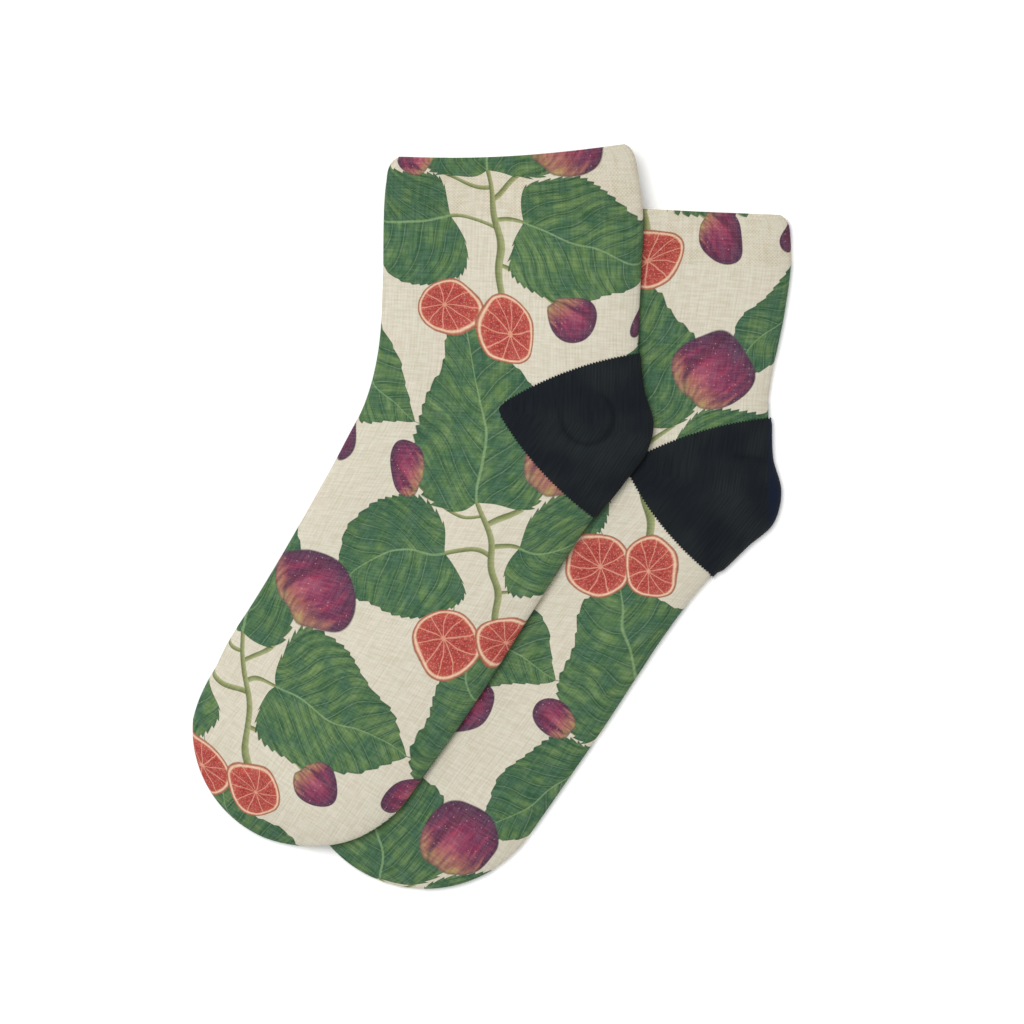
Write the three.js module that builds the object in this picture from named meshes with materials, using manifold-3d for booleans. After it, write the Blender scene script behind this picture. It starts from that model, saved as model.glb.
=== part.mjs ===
// A pair of knitted ankle socks, laid flat on their sides with one lying over the other.
// Each sock is a closed-toe knitted tube, a turned heel pocket knitted into it, and a double
// welt cuff around the open mouth. Millimetres, +Z up, the leg running up +Y.
import * as THREE from 'three';
import Module from 'manifold-3d';
import { mergeVertices } from 'three/addons/utils/BufferGeometryUtils.js';

const wasm = await Module();
wasm.setup();

// Fabric, in mm
const KNIT_WALL = 1.1;
const CUFF_WALL = 1.5;
const FOLD_RADIUS = 2.2;
const LOFT = 8.5;
const LOFT_REACH = 25;
const LOFT_POWER = 2.2;
const PIECE_GAP = 0.3;

// How the upper sock climbs over the edge of the lower one, in mm. Its under side follows the
// edge closely, and its upper side slopes more gently over the air inside.
const DRAPE_GAP = 0.6;
const DRAPE_STEP = 6.4;
const DRAPE_RUN_OUT = 13;
const DRAPE_RUN_IN = 2;
const DRAPE_SETTLE = 20;
const DRAPE_CARRY = 60;
const SLOPE_RUN_OUT = 34;
const SLOPE_RUN_IN = 16;
const SLOPE_BLEND = 20;

// Mesh density
const STATION_STEP = 9;
const TOE_STEPS = 14;
const INSET_ROWS = [0, 0.5, 2.2, 7, 15, 25, 34];
const WEDGE_TOP = 40;
const WEDGE_BOTTOM = -10;

// Each row is one crossing of the sock, from the rim to the start of the toe: the point on the
// instep edge, then the point on the heel edge. The rounded corners of the rim end at
// CORNER_ROW and the welt ends at CUFF_ROW, with WELT_ROW_LENGTH between those two rows.
const CORNER_ROW = 2;
const CUFF_ROW = 3;
const WELT_ROW_LENGTH = 11;
const UPPER_SOCK = {
  name: 'upper',
  rows: [
    [[-33.9, 131.0], [49.1, 135.4]],
    [[-37.1, 127.2], [52.2, 132.6]],
    [[-38.4, 121.8], [54.0, 121.4]],
    [[-39.3, 110.8], [55.0, 107.1]],
    [[-39.7, 87.9], [54.0, 84.3]],
    [[-40.8, 65.0], [53.3, 59.2]],
    [[-43.3, 50.8], [55.3, 45.3]],
    [[-47.0, 39.5], [58.4, 33.7]],
    [[-51.7, 30.4], [56.0, 23.4]],
    [[-57.5, 19.5], [47.3, 12.0]],
    [[-64.8, 6.4], [36.8, -0.5]],
    [[-77.2, -15.3], [16.7, -31.5]],
    [[-89.9, -35.9], [-6.2, -67.9]],
    [[-102.5, -53.7], [-29.3, -100.8]],
  ],
  rimDip: 2.2,
  heel: { apex: [2.2, 38.8], upperEnd: [53.2, 59.2], lowerEnd: [36.9, -0.4] },
};
const LOWER_SOCK = {
  name: 'lower',
  rows: [
    [[22.6, 113.9], [105.6, 109.7]],
    [[19.3, 110.5], [107.8, 106.6]],
    [[17.7, 105.0], [108.6, 100.6]],
    [[16.0, 94.1], [108.7, 90.5]],
    [[13.1, 75.2], [105.9, 70.4]],
    [[8.4, 46.0], [101.6, 42.4]],
    [[4.7, 28.6], [101.8, 22.5]],
    [[0.7, 17.7], [105.0, 8.9]],
    [[-4.4, 9.3], [101.9, -2.9]],
    [[-10.6, -0.9], [92.1, -11.1]],
    [[-18.6, -13.3], [80.4, -22.4]],
    [[-33.1, -32.4], [61.2, -46.0]],
    [[-48.4, -49.3], [39.3, -78.8]],
    [[-63.3, -63.9], [14.9, -114.1]],
  ],
  rimDip: 0.4,
  heel: { apex: [48.0, 19.1], upperEnd: [101.6, 35.9], lowerEnd: [79.0, -20.5] },
};

// The heel pocket's two knitted edges
const HEEL_EDGE_SAG = 3;
const HEEL_OVERRUN = 20;
const HEEL_EDGE_STEPS = 10;

const KNIT_MATERIAL = { color: 0xddd6c4, roughness: 0.9, metalness: 0 };
const HEEL_MATERIAL = { color: 0x1f2429, roughness: 0.95, metalness: 0 };

const toVector = ([x, y]) => new THREE.Vector3(x, y, 0);
const smoothstep = (t) => THREE.MathUtils.smoothstep(t, 0, 1);

// The two long edges of a sock as curves whose parameter is the row number.
function edgeCurves(sock) {
  return [0, 1].map((side) => {
    const points = sock.rows.map((row) => toVector(row[side]));
    const curve = new THREE.CatmullRomCurve3(points, false, 'centripetal');
    return (row) => curve.getPoint(row / (sock.rows.length - 1));
  });
}

// Row numbers from one row to another, with stations about STATION_STEP apart on the heel edge.
function stationRows(sock, fromRow, toRow) {
  const stations = [];
  for (let row = fromRow; row < toRow; row += 1) {
    const length = toVector(sock.rows[row][1]).distanceTo(toVector(sock.rows[row + 1][1]));
    const steps = Math.ceil(length / STATION_STEP);
    for (let i = 0; i < steps; i += 1) stations.push(row + i / steps);
  }
  stations.push(toRow);
  return stations;
}

// Stations along one stretch of the outline. Each holds its edge point, the spine point in the
// middle of the sock that it faces, and its row number. With the toe, they run down the instep
// edge, round the toe and back up the heel edge. Without it, the two edges are two stretches.
function outlineStretches(sock, fromRow, toRow, withToe) {
  const [instep, heel] = edgeCurves(sock);
  const rows = stationRows(sock, fromRow, toRow);
  const station = (curve) => (row) => ({
    edge: curve(row),
    spine: instep(row).add(heel(row)).multiplyScalar(0.5),
    row,
  });
  const down = rows.map(station(instep));
  const up = rows.map(station(heel)).reverse();
  if (!withToe) return [down, up];
  const centre = down.at(-1).spine;
  const side = down.at(-1).edge.clone().sub(centre);
  const forward = new THREE.Vector3(-side.y, side.x, 0);
  const toe = [];
  for (let i = 1; i < TOE_STEPS; i += 1) {
    const angle = (Math.PI * i) / TOE_STEPS;
    const edge = centre.clone().addScaledVector(side, Math.cos(angle));
    edge.addScaledVector(forward, Math.sin(angle));
    toe.push({ edge, spine: centre, row: toRow });
  }
  return [[...down, ...toe, ...up]];
}

// Height of the rounded upper face above the lowest point, at a distance in from the edge.
function loftHeight(inset, foldRadius, loft) {
  const t = Math.min(inset / LOFT_REACH, 1);
  return foldRadius + (loft - foldRadius) * (1 - (1 - t) ** LOFT_POWER) ** (1 / LOFT_POWER);
}

// Height of the lower face, which is flat but for the rounded fold at the edge.
function foldHeight(inset, foldRadius) {
  const reach = Math.max(0, foldRadius - inset);
  return foldRadius - Math.sqrt(foldRadius ** 2 - reach ** 2);
}

// Distance from a point to a polygon, positive inside.
function signedDistance(polygon, x, y) {
  let nearest = Infinity;
  let inside = false;
  polygon.forEach((a, i) => {
    const b = polygon[(i + 1) % polygon.length];
    const along = { x: b.x - a.x, y: b.y - a.y };
    const share = ((x - a.x) * along.x + (y - a.y) * along.y) / (along.x ** 2 + along.y ** 2);
    const t = THREE.MathUtils.clamp(share, 0, 1);
    nearest = Math.min(nearest, Math.hypot(x - a.x - t * along.x, y - a.y - t * along.y));
    if (a.y > y !== b.y > y && x < a.x + (along.x * (y - a.y)) / along.y) inside = !inside;
  });
  return inside ? nearest : -nearest;
}

// How far the upper sock's two sides are raised where it lies on the lower one. The lower sock's
// side edges are carried on past its rim, so the cuff of the upper one stands out level beyond it.
function drapeOver(sock) {
  const [stations] = outlineStretches(sock, CORNER_ROW, sock.rows.length - 1, true);
  const carried = (side) => {
    const corner = toVector(sock.rows[CORNER_ROW][side]);
    const along = corner.clone().sub(toVector(sock.rows[CUFF_ROW][side])).normalize();
    return corner.addScaledVector(along, DRAPE_CARRY);
  };
  const sides = [carried(0), ...stations.map((station) => station.edge), carried(1)];
  return (x, y) => {
    const inset = signedDistance(sides, x, y);
    const climb = smoothstep((inset + DRAPE_RUN_OUT) / (DRAPE_RUN_OUT + DRAPE_RUN_IN));
    const settled = (LOFT - DRAPE_STEP) * smoothstep(inset / DRAPE_SETTLE);
    const slope = smoothstep((inset + SLOPE_RUN_OUT) / (SLOPE_RUN_OUT + SLOPE_RUN_IN));
    return {
      under: (DRAPE_STEP + DRAPE_GAP) * climb + settled,
      over: (LOFT + DRAPE_GAP) * slope,
    };
  };
}

// One face of the knitted wall over one stretch of stations: a row of points for each station,
// from the spine on the upper side, out to the folded edge, and back to the spine underneath.
function wallFace(sock, stations, depth, lift) {
  return stations.map(({ edge, spine, row }) => {
    const reach = edge.distanceTo(spine);
    const rimShare = Math.max(0, 1 - row / CUFF_ROW);
    const point = (inset, under) => {
      const across = Math.min((inset + depth) / reach, 1);
      const plan = edge.clone().lerp(spine, across);
      plan.y -= sock.rimDip * rimShare * (1 - (1 - across) ** 2);
      const fold = FOLD_RADIUS - depth;
      const height = under ? foldHeight(inset, fold) : loftHeight(inset, fold, LOFT - 2 * depth);
      const raised = lift(plan.x, plan.y);
      const gentle = under ? 0 : smoothstep((across * reach) / SLOPE_BLEND);
      plan.z = depth + height + THREE.MathUtils.lerp(raised.under, raised.over, gentle);
      return plan;
    };
    const upper = [reach, ...INSET_ROWS.slice().reverse()].map((inset) => point(inset, false));
    const lower = [...INSET_ROWS.slice(1), reach].map((inset) => point(inset, true));
    return [...upper, ...lower];
  });
}

// Triangles of a strip of quads between neighbouring rows of points.
function quads(rows) {
  const triangles = [];
  for (let i = 0; i + 1 < rows.length; i += 1) {
    for (let j = 0; j + 1 < rows[i].length; j += 1) {
      const [a, b, c, d] = [rows[i][j], rows[i + 1][j], rows[i + 1][j + 1], rows[i][j + 1]];
      triangles.push([a, c, b], [a, d, c]);
    }
  }
  return triangles;
}

const flipped = (triangles) => triangles.map(([a, b, c]) => [a, c, b]);

// A closed solid from loose triangles, as manifold-3d holds it.
function toSolid(triangles) {
  const positions = triangles.flat().flatMap((p) => [p.x, p.y, p.z]);
  const loose = new THREE.BufferGeometry();
  loose.setAttribute('position', new THREE.Float32BufferAttribute(positions, 3));
  const merged = mergeVertices(loose, 1e-4);
  const index = merged.index.array;
  const kept = [];
  for (let i = 0; i < index.length; i += 3) {
    const [a, b, c] = [index[i], index[i + 1], index[i + 2]];
    if (a !== b && b !== c && c !== a) kept.push(a, b, c);
  }
  return new wasm.Manifold(new wasm.Mesh({
    numProp: 3,
    vertProperties: new Float32Array(merged.attributes.position.array),
    triVerts: new Uint32Array(kept),
  }));
}

// A stretch of a sock's knitted wall as a hollow tube, open at the cuff end.
function knittedTube(sock, fromRow, toRow, withToe, wall, lift) {
  const triangles = [];
  for (const stations of outlineStretches(sock, fromRow, toRow, withToe)) {
    const outer = wallFace(sock, stations, 0, lift);
    const inner = wallFace(sock, stations, wall, lift);
    triangles.push(...quads(outer), ...flipped(quads(inner)));
    triangles.push(...flipped(quads([outer[0], inner[0]])));
    triangles.push(...quads([outer.at(-1), inner.at(-1)]));
  }
  return toSolid(triangles);
}

// The two knitted edges of the heel pocket from its apex to beyond the back of the sock, grown
// outward by a margin. Each bows out by HEEL_EDGE_SAG between the apex and the back.
function heelEdges({ apex, upperEnd, lowerEnd }, margin) {
  const tip = new THREE.Vector2(...apex);
  const chords = [upperEnd, lowerEnd].map((end) => new THREE.Vector2(...end).sub(tip));
  const outs = chords.map((chord, side) => {
    const turn = side === 0 ? 1 : -1;
    return new THREE.Vector2(-chord.y, chord.x).normalize().multiplyScalar(turn);
  });
  const mitre = margin / (1 + outs[0].dot(outs[1]));
  const corner = tip.clone().addScaledVector(outs[0].clone().add(outs[1]), mitre);
  return chords.map((chord, side) => {
    const points = [corner];
    for (let i = 1; i <= HEEL_EDGE_STEPS; i += 1) {
      const t = i / HEEL_EDGE_STEPS;
      const bow = HEEL_EDGE_SAG * 4 * t * (1 - t) + margin;
      points.push(tip.clone().addScaledVector(chord, t).addScaledVector(outs[side], bow));
    }
    points.push(points.at(-1).clone().addScaledVector(chord.clone().normalize(), HEEL_OVERRUN));
    return points;
  });
}

// The tall upright wedge that cuts the heel pocket out of a sock, grown outward by a margin.
function heelWedge(heel, margin) {
  const [upper, lower] = heelEdges(heel, margin);
  const sections = upper.map((u, i) => {
    const corner = (plan, z) => new THREE.Vector3(plan.x, plan.y, z);
    const l = lower[i];
    return [
      corner(u, WEDGE_TOP),
      corner(l, WEDGE_TOP),
      corner(l, WEDGE_BOTTOM),
      corner(u, WEDGE_BOTTOM),
      corner(u, WEDGE_TOP),
    ];
  });
  const [a, b, c, d] = sections.at(-1);
  return toSolid([...quads(sections), [a, b, c], [a, c, d]]);
}

function toGeometry(solid) {
  const { vertProperties, triVerts } = solid.getMesh();
  const geometry = new THREE.BufferGeometry();
  geometry.setAttribute('position', new THREE.Float32BufferAttribute(vertProperties, 3));
  geometry.setIndex(new THREE.Uint32BufferAttribute(triVerts, 1));
  geometry.computeVertexNormals();
  return geometry;
}

function toMesh(name, solid, material) {
  const mesh = new THREE.Mesh(toGeometry(solid), new THREE.MeshStandardMaterial(material));
  mesh.name = name;
  return mesh;
}

// The three knitted pieces of one sock.
function makeSock(sock, lift) {
  const lastRow = sock.rows.length - 1;
  const tube = knittedTube(sock, CUFF_ROW, lastRow, true, KNIT_WALL, lift);
  const cuffEnd = CUFF_ROW - PIECE_GAP / WELT_ROW_LENGTH;
  const cuff = knittedTube(sock, 0, cuffEnd, false, CUFF_WALL, lift);
  const body = tube.subtract(heelWedge(sock.heel, PIECE_GAP / 2));
  const heel = tube.intersect(heelWedge(sock.heel, -PIECE_GAP / 2));
  const group = new THREE.Group();
  group.add(toMesh(`${sock.name}_sock_body`, body, KNIT_MATERIAL));
  group.add(toMesh(`${sock.name}_sock_heel`, heel, HEEL_MATERIAL));
  group.add(toMesh(`${sock.name}_sock_cuff`, cuff, KNIT_MATERIAL));
  return group;
}

const pair = new THREE.Group();
pair.add(makeSock(LOWER_SOCK, () => ({ under: 0, over: 0 })));
pair.add(makeSock(UPPER_SOCK, drapeOver(LOWER_SOCK)));

// The origin is the middle of the pair's footprint, on the floor.
const middle = new THREE.Box3().setFromObject(pair).getCenter(new THREE.Vector3());
pair.position.set(-middle.x, -middle.y, 0);

export default pair;
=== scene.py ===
import math

import bmesh
import bpy
import numpy as np
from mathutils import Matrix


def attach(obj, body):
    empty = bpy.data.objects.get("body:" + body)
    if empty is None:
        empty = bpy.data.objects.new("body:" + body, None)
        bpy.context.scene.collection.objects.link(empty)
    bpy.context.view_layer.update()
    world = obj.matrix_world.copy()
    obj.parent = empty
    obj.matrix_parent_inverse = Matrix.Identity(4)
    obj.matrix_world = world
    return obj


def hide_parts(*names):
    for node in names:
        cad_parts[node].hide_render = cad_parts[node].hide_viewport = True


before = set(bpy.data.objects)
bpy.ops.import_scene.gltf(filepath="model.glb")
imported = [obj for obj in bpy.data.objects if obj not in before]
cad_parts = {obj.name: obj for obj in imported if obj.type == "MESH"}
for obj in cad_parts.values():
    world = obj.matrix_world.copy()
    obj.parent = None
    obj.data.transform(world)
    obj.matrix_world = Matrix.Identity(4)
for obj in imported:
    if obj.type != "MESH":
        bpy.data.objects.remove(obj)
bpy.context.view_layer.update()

MM = 0.001

# The sock outlines, in mm. Each row is one crossing of the sock from the rim to the start of the
# toe: the point on the instep edge, then the point on the heel edge. The ease is how far the printed
# cloth lies outside that outline: by row on the instep edge, round the toe, by row on the heel edge.
# The middle of the rim dips by rim_dip. The heel pocket has a tip and two sides that cross the heel
# edge at the rows in heel_span, and past painted_sheen_from in x it takes a painted navy sheen. The
# rounded corners of the rim end at CORNER_ROW and the cuff at CUFF_ROW.
CUFF_ROW = 3
CORNER_ROW = 2
UPPER = {
    "name": "upper",
    "rows": [
        [[-33.9, 131.0], [49.1, 135.4]],
        [[-37.1, 127.2], [52.2, 132.6]],
        [[-38.4, 121.8], [54.0, 121.4]],
        [[-39.3, 110.8], [55.0, 107.1]],
        [[-39.7, 87.9], [54.0, 84.3]],
        [[-40.8, 65.0], [53.3, 59.2]],
        [[-43.3, 50.8], [55.3, 45.3]],
        [[-47.0, 39.5], [58.4, 33.7]],
        [[-51.7, 30.4], [56.0, 23.4]],
        [[-57.5, 19.5], [47.3, 12.0]],
        [[-64.8, 6.4], [36.8, -0.5]],
        [[-77.2, -15.3], [16.7, -31.5]],
        [[-89.9, -35.9], [-6.2, -67.9]],
        [[-102.5, -53.7], [-29.3, -100.8]],
    ],
    "ease": (
        ([0, 1, 2, 12.2, 12.6, 13], [0.7, 0.3, 0, 0, -0.7, -2.3]),
        (
            [-1, -0.948, -0.883, -0.8, 0.15, 0.4, 0.65, 0.9, 1],
            [-2.3, -1.4, -0.5, -0.45, -0.45, -0.8, -0.8, -0.3, 0],
        ),
        ([0, 0.5, 1, 2, 3], [-0.2, -0.8, -1.1, -0.4, 0]),
    ),
    "rim_dip": 2.2,
    "heel_span": (5.0, 10.0),
    "painted_sheen_from": 200,
    "heel": [[1.3, 39.6], [53.2, 59.2], [36.9, -0.4]],
}
LOWER = {
    "name": "lower",
    "rows": [
        [[22.6, 113.9], [105.6, 109.7]],
        [[19.3, 110.5], [107.8, 106.6]],
        [[17.7, 105.0], [108.6, 100.6]],
        [[16.0, 94.1], [108.7, 90.5]],
        [[13.1, 75.2], [105.9, 70.4]],
        [[8.4, 46.0], [101.6, 42.4]],
        [[4.7, 28.6], [101.8, 22.5]],
        [[0.7, 17.7], [105.0, 8.9]],
        [[-4.4, 9.3], [101.9, -2.9]],
        [[-10.6, -0.9], [92.1, -11.1]],
        [[-18.6, -13.3], [80.4, -22.4]],
        [[-33.1, -32.4], [61.2, -46.0]],
        [[-48.4, -49.3], [39.3, -78.8]],
        [[-63.3, -63.9], [14.9, -114.1]],
    ],
    "ease": (
        ([0], [0]),
        ([0], [0]),
        ([3.9, 4.6, 5.0, 5.35, 5.8, 9.5, 9.85, 10.5, 11.3], [0, -0.8, -1.1, -0.7, 0, 0, -1.1, -1.0, 0]),
    ),
    "rim_dip": 0.4,
    "heel_span": (5.35, 9.84),
    "painted_sheen_from": 100.7,
    "heel": [[48.0, 19.1], [101.6, 35.9], [79.0, -20.5]],
}

# From the outlines' origin to the frame's, in mm
FRAME_SHIFT = np.array([0.19, -0.09, 0.0])

# Fabric, in mm: its walls, the radius of the fold at the edges, the height of a sock laid flat, and
# how far from the edge and how squarely the cloth rises to that height
KNIT_WALL = 1.1
CUFF_WALL = 1.5
FOLD_RADIUS = 2.2
LOFT = 8.5
LOFT_REACH = 25
LOFT_POWER = 2.2

# How far the welt and the heel pocket stand out from the tube, in mm, and how far the tube runs on
# under the welt, in rows
WELT_PROUD = 0.05
HEEL_PROUD = 0.3
HEEL_INNER_PROUD = 0.1
TUCK_UNDER_WELT = 0.07

# Stitches: knitted columns from the middle of a face to its edge, then pitches in mm
HALF_WALES = 41
COURSE_PITCH = 0.82
RIB_PITCH = 1.13
HEEL_COURSE_PITCH = 0.8

# How the upper sock climbs over the edge of the lower one, in mm
DRAPE_GAP = 0.6
DRAPE_STEP = 6.4
DRAPE_RUN_OUT = 13
DRAPE_RUN_IN = 2
DRAPE_SETTLE = 20
DRAPE_CARRY = 60
SLOPE_RUN_OUT = 34
SLOPE_RUN_IN = 16
SLOPE_BLEND = 20

# Mesh density, in mm: the step along the edge, the distances in from the edge, and the number of
# samples from there to the spine
NEAR_EDGE = [0, 0.12, 0.3, 0.55, 0.9, 1.3, 1.8, 2.4, 3.1, 4, 5.1, 6.4]
COARSE = {
    "step": 1.6,
    "insets": NEAR_EDGE + [7.9, 9.6, 11.5, 13.6, 15.9, 18.2, 20.5, 22.8, 25],
    "centre": 12,
}
FINE = {
    "step": 0.9,
    "insets": NEAR_EDGE + list(np.arange(7.2, 24.5, 0.8)) + [25],
    "centre": 28,
}
TOE_STEPS = 90
CURVE_SAMPLES = 2000
POLYGON_STEP = 6
SHARP_ANGLE = 50

# Distances in metres within which points are welded and slivers dissolved
WELD_DISTANCE = 2e-6
SLIVER_LENGTH = 1e-7

# The toothed cut round the heel pocket, in mm: how far its sides bow and run on, its teeth, how many
# half teeth the rounded tip takes the place of, and the heights of the prism that makes it
HEEL_EDGE_SAG = 3
HEEL_OVERRUN = 20
TOOTH_PITCH = 1.13
TOOTH_DEPTH = 0.65
TIP_STEPS = 6
CUTTER_HEIGHTS = (-10, 40)

# Rows that the heel pocket is lofted over before it is cut, and those that give the directions of its
# ribs and the corner that its mitre runs to
HEEL_ROWS = (4.2, 11.4)
LEG_ROWS = (4, 5)
FOOT_ROWS = (9, 12)
MITRE_ROWS = (7, 8)

# How softly the ribs change over at the mitre, and where past the heel's tip they begin to show, in mm
MITRE_SOFTNESS = 40
RIBS_FROM = 24
RIBS_FADE = 16

# How far the heel pocket stands out past the sock's edge, in mm, by rows from each of its ends
SPREAD_FROM_LEG = ([0, 0.06, 0.2, 0.8], [0.0, 0.4, 0.4, 0])
SPREAD_FROM_SOLE = ([0, 0.03, 0.08, 0.25, 0.5, 1.5], [-0.5, 0.3, 0.8, 0.9, 0.8, 0])

# Creases of the heels, in mm. The ring is shallowest on one side, by a share of its depth.
RING_CENTRE = np.array([34.8, 35.7])
RING_RADIUS = 9.5
RING_DEPTH = 1.0
RING_RISE = 0.3
RING_FADE = 0.8
RING_FADE_ANGLE = 0.35
CREASE_START = np.array([88.8, 21.7])
CREASE_END = np.array([99.4, 19.8])
CREASE_DEPTH = 1.2
CREASE_WIDTH = 1.1

# Soft waves of the cloth: height in mm, how fast each runs on in x and in y, and where it starts.
# The waves and creases fade out over the last few mm before the edge.
WAVES = [
    (0.2, 0.071, 0.043, 0.4),
    (0.18, -0.052, 0.098, 2.1),
    (0.14, 0.138, 0.021, 4.0),
    (0.1, 0.09, -0.16, 1.2),
]
RELIEF_FADE = 6


def smoothstep(t):
    t = np.clip(t, 0, 1)
    return t * t * (3 - 2 * t)


def curve_through(points, rows):
    """Points of the centripetal curve through these points, at fractional row numbers."""
    points = np.asarray(points, float)
    points = np.vstack([2 * points[0] - points[1], points, 2 * points[-1] - points[-2]])
    first = np.clip(np.floor(rows).astype(int), 0, len(points) - 4)
    t = (rows - first)[:, None]
    p0, p1, p2, p3 = (points[first + k] for k in range(4))
    spans = [np.sqrt(np.linalg.norm(b - a, axis=1))[:, None] for a, b in ((p0, p1), (p1, p2), (p2, p3))]
    d0, d1, d2 = spans
    m1 = ((p1 - p0) / d0 - (p2 - p0) / (d0 + d1) + (p2 - p1) / d1) * d1
    m2 = ((p2 - p1) / d1 - (p3 - p1) / (d1 + d2) + (p3 - p2) / d2) * d1
    return p1 + m1 * t + (3 * (p2 - p1) - 2 * m1 - m2) * t**2 + (2 * (p1 - p2) + m1 + m2) * t**3


def edge_points(sock, side, rows):
    """Points on the instep edge, side 0, or the heel edge, side 1, at these row numbers."""
    return curve_through([row[side] for row in sock["rows"]], rows)


def run_along(points):
    """Distance along a line of points, from its first one."""
    return np.concatenate([[0], np.cumsum(np.linalg.norm(np.diff(points, axis=0), axis=1))])


def row_numbers(sock, first, last, step):
    """Fractional row numbers from first to last, about a step apart on the heel edge."""
    fine = np.linspace(first, last, CURVE_SAMPLES)
    run = run_along(edge_points(sock, 1, fine))
    return np.interp(np.linspace(0, run[-1], int(run[-1] / step) + 2), run, fine)


def stretches(sock, first, last, with_toe, step):
    """Stations along the outline, as arrays: edge, spine, row number, and the knit's own axes.

    With the toe they form one stretch, from one side round to the other, and without it two."""
    rows = row_numbers(sock, first, last, step)
    edges = [edge_points(sock, side, rows) for side in (0, 1)]
    spine = (edges[0] + edges[1]) / 2
    fine = np.linspace(0, len(sock["rows"]) - 1, CURVE_SAMPLES)
    middle = sum(edge_points(sock, side, fine) for side in (0, 1)) / 2
    along = np.interp(rows, fine, run_along(middle))
    zero = np.zeros(len(rows))
    down, up = (
        {
            "edge": edges[side],
            "spine": spine,
            "row": rows,
            "side": zero + sign,
            "along": along,
            "ahead": zero,
        }
        for side, sign in ((0, -1.0), (1, 1.0))
    )
    up = {key: value[::-1] for key, value in up.items()}
    if not with_toe:
        return [down, up]
    centre = spine[-1]
    side = edges[0][-1] - centre
    forward = np.array([-side[1], side[0]])
    angle = np.pi * np.arange(1, TOE_STEPS) / TOE_STEPS
    toe = {
        "edge": centre + np.outer(np.cos(angle), side) + np.outer(np.sin(angle), forward),
        "spine": np.tile(centre, (len(angle), 1)),
        "row": np.full(len(angle), rows[-1]),
        "side": -np.cos(angle),
        "along": np.full(len(angle), along[-1]),
        "ahead": np.sin(angle) * np.linalg.norm(side),
    }
    return [{key: np.concatenate([down[key], toe[key], up[key]]) for key in down}]


def signed_distance(polygon, points):
    """Distance from each point to a polygon, positive inside."""
    nearest = np.full(len(points), np.inf)
    inside = np.zeros(len(points), bool)
    for a, b in zip(polygon, np.roll(polygon, -1, axis=0)):
        along = b - a
        t = np.clip((points - a) @ along / (along @ along), 0, 1)
        nearest = np.minimum(nearest, np.linalg.norm(points - a - t[:, None] * along, axis=1))
        if a[1] != b[1]:
            crosses = (a[1] > points[:, 1]) != (b[1] > points[:, 1])
            inside ^= crosses & (points[:, 0] < a[0] + along[0] * (points[:, 1] - a[1]) / along[1])
    return np.where(inside, nearest, -nearest)


def lower_polygon():
    """The lower sock's outline, with its side edges carried on past the rim."""
    station = stretches(LOWER, CORNER_ROW, len(LOWER["rows"]) - 1, True, POLYGON_STEP)[0]
    rows = np.array(LOWER["rows"])
    ends = []
    for side in (0, 1):
        along = rows[CORNER_ROW, side] - rows[CUFF_ROW, side]
        ends.append(rows[CORNER_ROW, side] + along / np.linalg.norm(along) * DRAPE_CARRY)
    return np.vstack([ends[0], station["edge"], ends[1]])


LOWER_POLYGON = lower_polygon()


def drape(points):
    """How far the under side and the upper side of the upper sock are raised at each point."""
    inset = signed_distance(LOWER_POLYGON, points)
    climb = smoothstep((inset + DRAPE_RUN_OUT) / (DRAPE_RUN_OUT + DRAPE_RUN_IN))
    settled = (LOFT - DRAPE_STEP) * smoothstep(inset / DRAPE_SETTLE)
    slope = smoothstep((inset + SLOPE_RUN_OUT) / (SLOPE_RUN_OUT + SLOPE_RUN_IN))
    return (DRAPE_STEP + DRAPE_GAP) * climb + settled, (LOFT + DRAPE_GAP) * slope


def no_drape(points):
    """The lower sock lies flat, so it is raised nowhere."""
    return np.zeros(len(points)), np.zeros(len(points))


def wall_face(sock, station, depth, lift, relief, density):
    """One face of the knitted wall as a grid of points, with the knit's coordinates of each."""
    edge, spine, row = station["edge"], station["spine"], station["row"]
    depth = np.broadcast_to(depth, row.shape)[:, None]
    reach = np.linalg.norm(edge - spine, axis=1)[:, None]
    edge = edge + (edge - spine) / reach * station["spread"][:, None]
    reach = np.linalg.norm(edge - spine, axis=1)[:, None]
    insets = np.array(density["insets"], float)
    shares = np.linspace(0, 1, density["centre"] + 1)[1:]
    inset = np.hstack([np.tile(insets, (len(row), 1)), insets[-1] + (reach - insets[-1]) * shares])
    across = (inset + depth * (1 - inset / reach)) / reach
    plan = edge[:, None] + (spine - edge)[:, None] * across[..., None]
    rim_share = np.maximum(0, 1 - row / CUFF_ROW)[:, None]
    plan[..., 1] -= sock["rim_dip"] * rim_share * (1 - (1 - across) ** 2)
    flat = plan.reshape(-1, 2)
    under, over = (h.reshape(inset.shape) for h in lift(flat))
    fold = FOLD_RADIUS - depth
    loft = LOFT - 2 * depth
    t = np.clip(inset / LOFT_REACH, 0, 1)
    top = fold + (loft - fold) * (1 - (1 - t) ** LOFT_POWER) ** (1 / LOFT_POWER)
    bottom = fold - np.sqrt(np.maximum(fold**2 - np.maximum(0, fold - inset) ** 2, 0))
    gentle = smoothstep(across * reach / SLOPE_BLEND)
    raised = relief(flat).reshape(inset.shape) * smoothstep(inset / RELIEF_FADE)
    upper_z = depth + top + under + (over - under) * gentle + raised
    lower_z = np.maximum(depth, 0) + bottom + under
    knit_x = station["side"][:, None] * (1 - across) * HALF_WALES
    knit_y = station["along"][:, None] + station["ahead"][:, None] * (1 - across)
    knit = np.stack([knit_x, knit_y], axis=-1)
    upper_face = np.concatenate([plan, upper_z[..., None]], axis=-1)[:, ::-1]
    lower_face = np.concatenate([plan, lower_z[..., None]], axis=-1)[:, 1:]
    return np.hstack([upper_face, lower_face]), np.hstack([knit[:, ::-1], knit[:, 1:]])


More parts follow.
